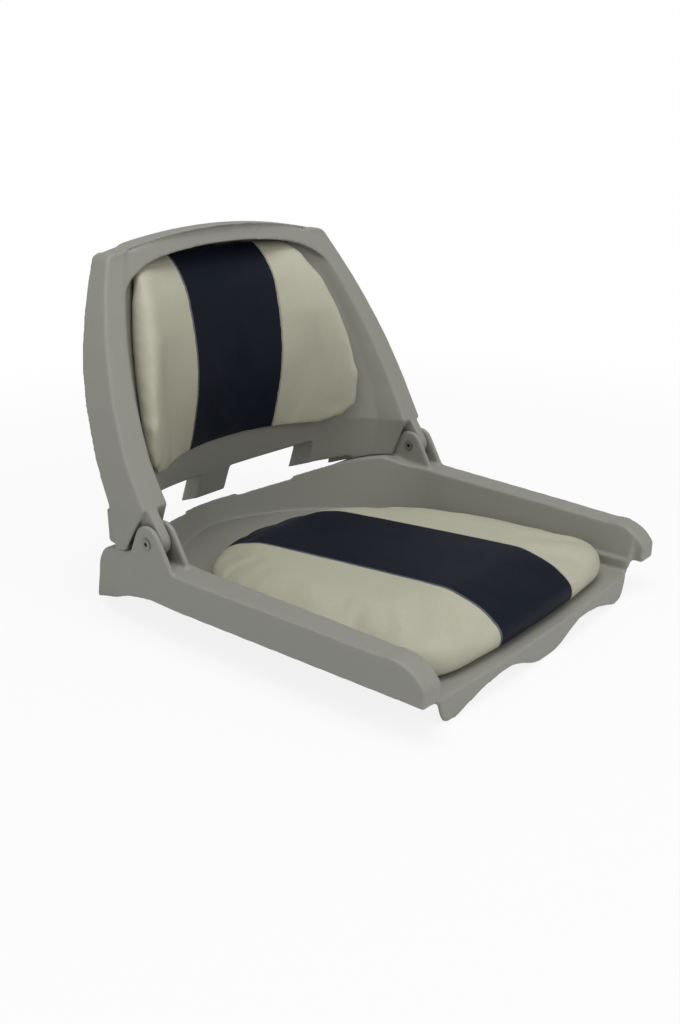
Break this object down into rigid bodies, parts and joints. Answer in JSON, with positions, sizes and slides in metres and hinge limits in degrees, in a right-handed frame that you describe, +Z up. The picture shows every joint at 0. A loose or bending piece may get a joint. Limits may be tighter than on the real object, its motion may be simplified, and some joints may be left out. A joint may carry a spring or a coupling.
{
  "type": "folding boat seat",
  "caption": "Low folding boat seat: a moulded tray base with side rails, a scooped folding backrest on clevis hinges, and striped vinyl cushions; bolts to a pedestal.",
  "frame": {"origin": "centre of the square bolt pattern under the base, in the plane of the bolt bosses and the feet", "axes": "+Z up, +X to the sitter's left as they face -Y, +Y towards the backrest"},
  "size_m": [0.5306, 0.591, 0.4345],
  "materials": {
    "shell_plastic": "grey moulded plastic, fine satin grain",
    "cream_vinyl": "cream vinyl, fine grain",
    "navy_vinyl": "navy vinyl, fine grain",
    "foam": "closed-cell cushion foam",
    "board": "plywood cushion board",
    "steel": "stainless steel",
    "insert_brass": "turned brass",
    "nylon": "white nylon"
  },
  "bodies": {
    "seat": {"seat_shell": "shell_plastic", "seat_cushion_board": "board", "seat_cushion_foam": "foam", "seat_cushion_cover_left": "cream_vinyl", "seat_cushion_cover_centre": "navy_vinyl", "seat_cushion_cover_right": "cream_vinyl", "seat_cushion_screws": "steel", "seat_cushion_tee_nuts": "steel", "mounting_inserts": "insert_brass", "hinge_pin_left": "steel", "hinge_pin_right": "steel", "hinge_washers_left": "nylon", "hinge_washers_right": "nylon"},
    "backrest": {"back_shell": "shell_plastic", "back_cushion_board": "board", "back_cushion_foam": "foam", "back_cushion_cover_left": "cream_vinyl", "back_cushion_cover_centre": "navy_vinyl", "back_cushion_cover_right": "cream_vinyl", "back_cushion_screws": "steel", "back_cushion_tee_nuts": "steel", "hinge_bush_left": "nylon", "hinge_bush_right": "nylon"}
  },
  "joints": [
    {"name": "back_fold", "type": "hinge", "parent": "seat", "child": "backrest", "pos_m": [0, 0.12, 0.115], "axis": [1, 0, 0], "range_deg": [0, 112]}
  ]
}
